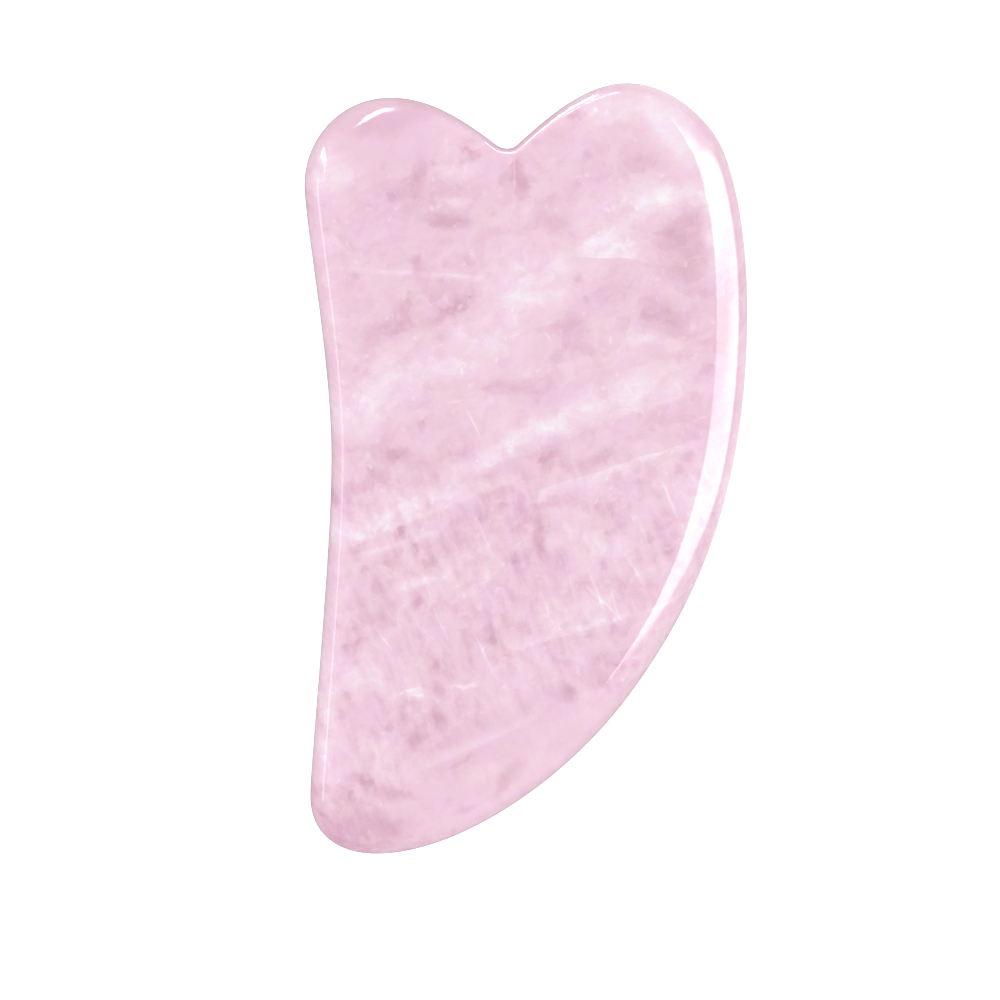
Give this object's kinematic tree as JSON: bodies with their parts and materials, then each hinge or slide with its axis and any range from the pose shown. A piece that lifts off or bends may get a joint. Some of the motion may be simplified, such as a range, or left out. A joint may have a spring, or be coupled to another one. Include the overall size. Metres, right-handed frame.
{
  "type": "gua sha scraper",
  "caption": "Flat polished stone facial massage board with a heart-shaped notched end, a long convex flank, a shallow concave waist and a rounded toe.",
  "frame": {"origin": "under the middle of the board's box, on the flat back face it rests on", "axes": "+Z out of the flat front face; +Y along the board towards the notched end; +X towards the long convex flank"},
  "size_m": [0.046, 0.08, 0.006],
  "materials": {
    "rose_quartz": "polished translucent pink quartz with milky white veils and fine fractures"
  },
  "bodies": {
    "root": {"stone_board": "rose_quartz"}
  },
  "joints": []
}
